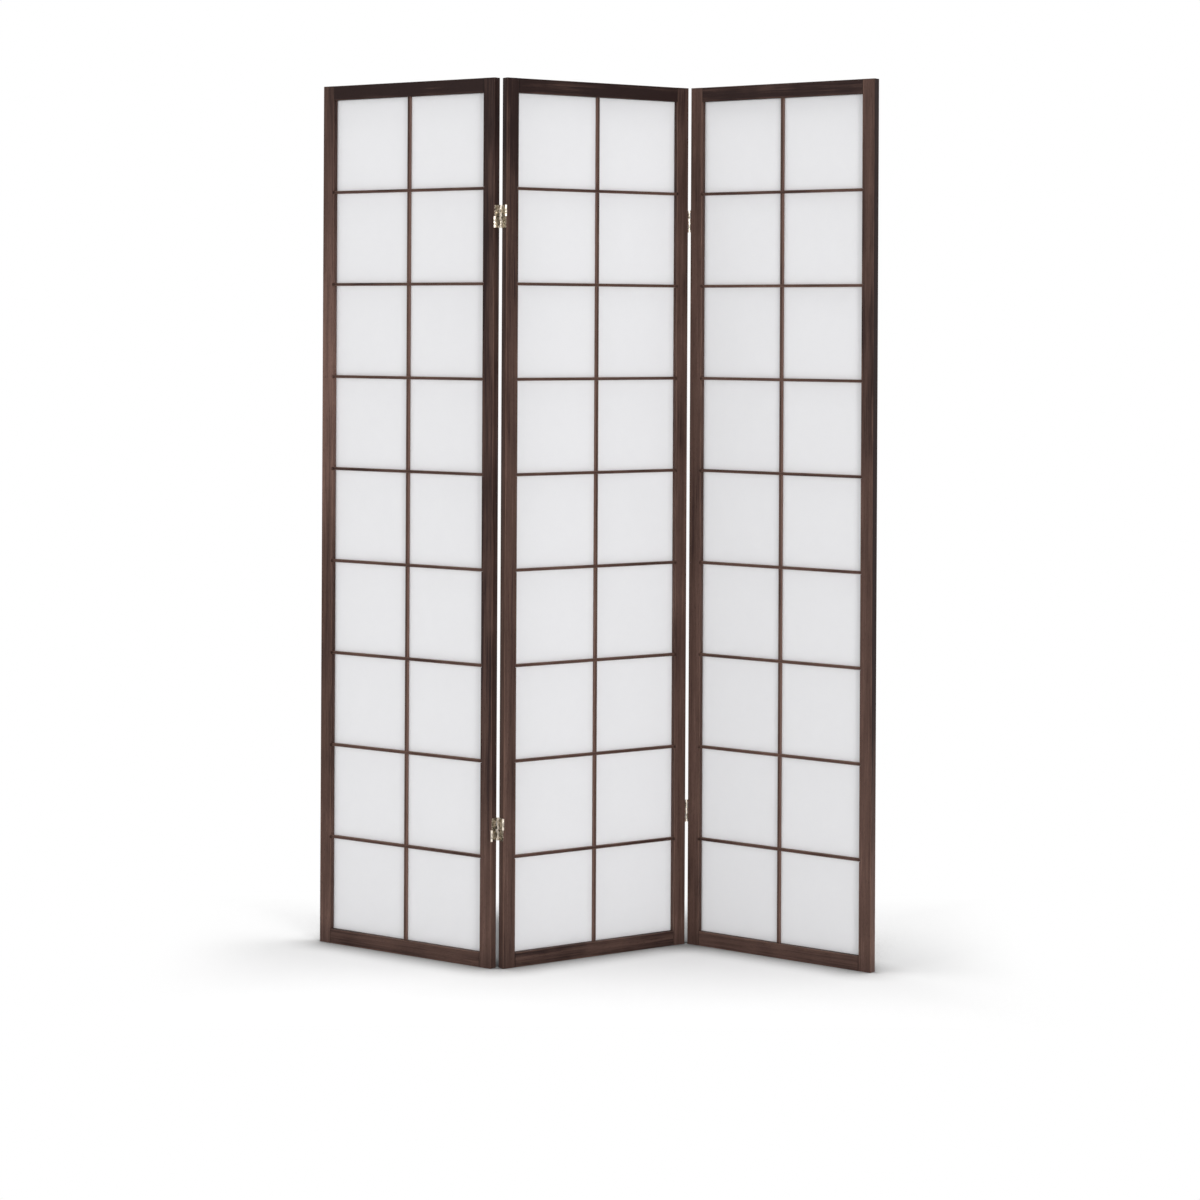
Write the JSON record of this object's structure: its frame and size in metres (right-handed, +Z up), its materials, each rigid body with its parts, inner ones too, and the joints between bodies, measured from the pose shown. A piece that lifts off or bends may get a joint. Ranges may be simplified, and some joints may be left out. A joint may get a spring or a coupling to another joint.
{
  "type": "folding screen",
  "caption": "Folding room-divider screen of dark wood lattice frames backed with white paper, joined by double-acting pin hinges and standing in a zigzag.",
  "frame": {"origin": "middle of the middle panel's underside, on the floor", "axes": "+Z up, +X along the run of the screen from the left panel to the right one as seen from the front, +Y from the front of the screen to its back"},
  "size_m": [1.1347, 0.2807, 1.785],
  "materials": {
    "frame_wood": "dark brown stain, satin",
    "lattice_wood": "dark brown stain, satin",
    "batten_wood": "dark brown stain, satin",
    "dowel_wood": "bare hardwood",
    "paper": "matt white, slightly translucent",
    "hinge_brass": "pale, slightly dulled",
    "pin_steel": "plain",
    "screw_brass": "plain"
  },
  "bodies": {
    "left_panel": {"left_panel_left_stile": "frame_wood", "left_panel_right_stile": "frame_wood", "left_panel_top_rail": "frame_wood", "left_panel_bottom_rail": "frame_wood", "left_panel_upright": "lattice_wood", "left_panel_crossbars": "lattice_wood", "left_panel_paper": "paper", "left_panel_side_battens": "batten_wood", "left_panel_cross_battens": "batten_wood", "left_panel_corner_dowels": "dowel_wood", "left_panel_hinge_pins": "pin_steel", "left_panel_hinge_screws": "screw_brass", "left_fold_bottom_hinge_left_leaf": "hinge_brass", "left_fold_bottom_hinge_lower_link": "hinge_brass", "left_fold_top_hinge_left_leaf": "hinge_brass", "left_fold_top_hinge_lower_link": "hinge_brass"},
    "middle_panel": {"middle_panel_left_stile": "frame_wood", "middle_panel_right_stile": "frame_wood", "middle_panel_top_rail": "frame_wood", "middle_panel_bottom_rail": "frame_wood", "middle_panel_upright": "lattice_wood", "middle_panel_crossbars": "lattice_wood", "middle_panel_paper": "paper", "middle_panel_side_battens": "batten_wood", "middle_panel_cross_battens": "batten_wood", "middle_panel_corner_dowels": "dowel_wood", "middle_panel_hinge_pins": "pin_steel", "middle_panel_hinge_screws": "screw_brass", "left_fold_bottom_hinge_right_leaf": "hinge_brass", "left_fold_bottom_hinge_upper_link": "hinge_brass", "left_fold_top_hinge_right_leaf": "hinge_brass", "left_fold_top_hinge_upper_link": "hinge_brass", "right_fold_bottom_hinge_left_leaf": "hinge_brass", "right_fold_bottom_hinge_upper_link": "hinge_brass", "right_fold_top_hinge_left_leaf": "hinge_brass", "right_fold_top_hinge_upper_link": "hinge_brass"},
    "right_panel": {"right_panel_left_stile": "frame_wood", "right_panel_right_stile": "frame_wood", "right_panel_top_rail": "frame_wood", "right_panel_bottom_rail": "frame_wood", "right_panel_upright": "lattice_wood", "right_panel_crossbars": "lattice_wood", "right_panel_paper": "paper", "right_panel_side_battens": "batten_wood", "right_panel_cross_battens": "batten_wood", "right_panel_corner_dowels": "dowel_wood", "right_panel_hinge_pins": "pin_steel", "right_panel_hinge_screws": "screw_brass", "right_fold_bottom_hinge_right_leaf": "hinge_brass", "right_fold_bottom_hinge_lower_link": "hinge_brass", "right_fold_top_hinge_right_leaf": "hinge_brass", "right_fold_top_hinge_lower_link": "hinge_brass"}
  },
  "joints": [
    {"name": "left_fold", "type": "hinge", "parent": "middle_panel", "child": "left_panel", "pos_m": [-0.19283, -0.11306, 0.8925], "axis": [0, 0, 1], "range_deg": [-113, 67]},
    {"name": "right_fold", "type": "hinge", "parent": "middle_panel", "child": "right_panel", "pos_m": [0.19283, 0.11306, 0.8925], "axis": [0, 0, 1], "range_deg": [-111, 69]}
  ]
}
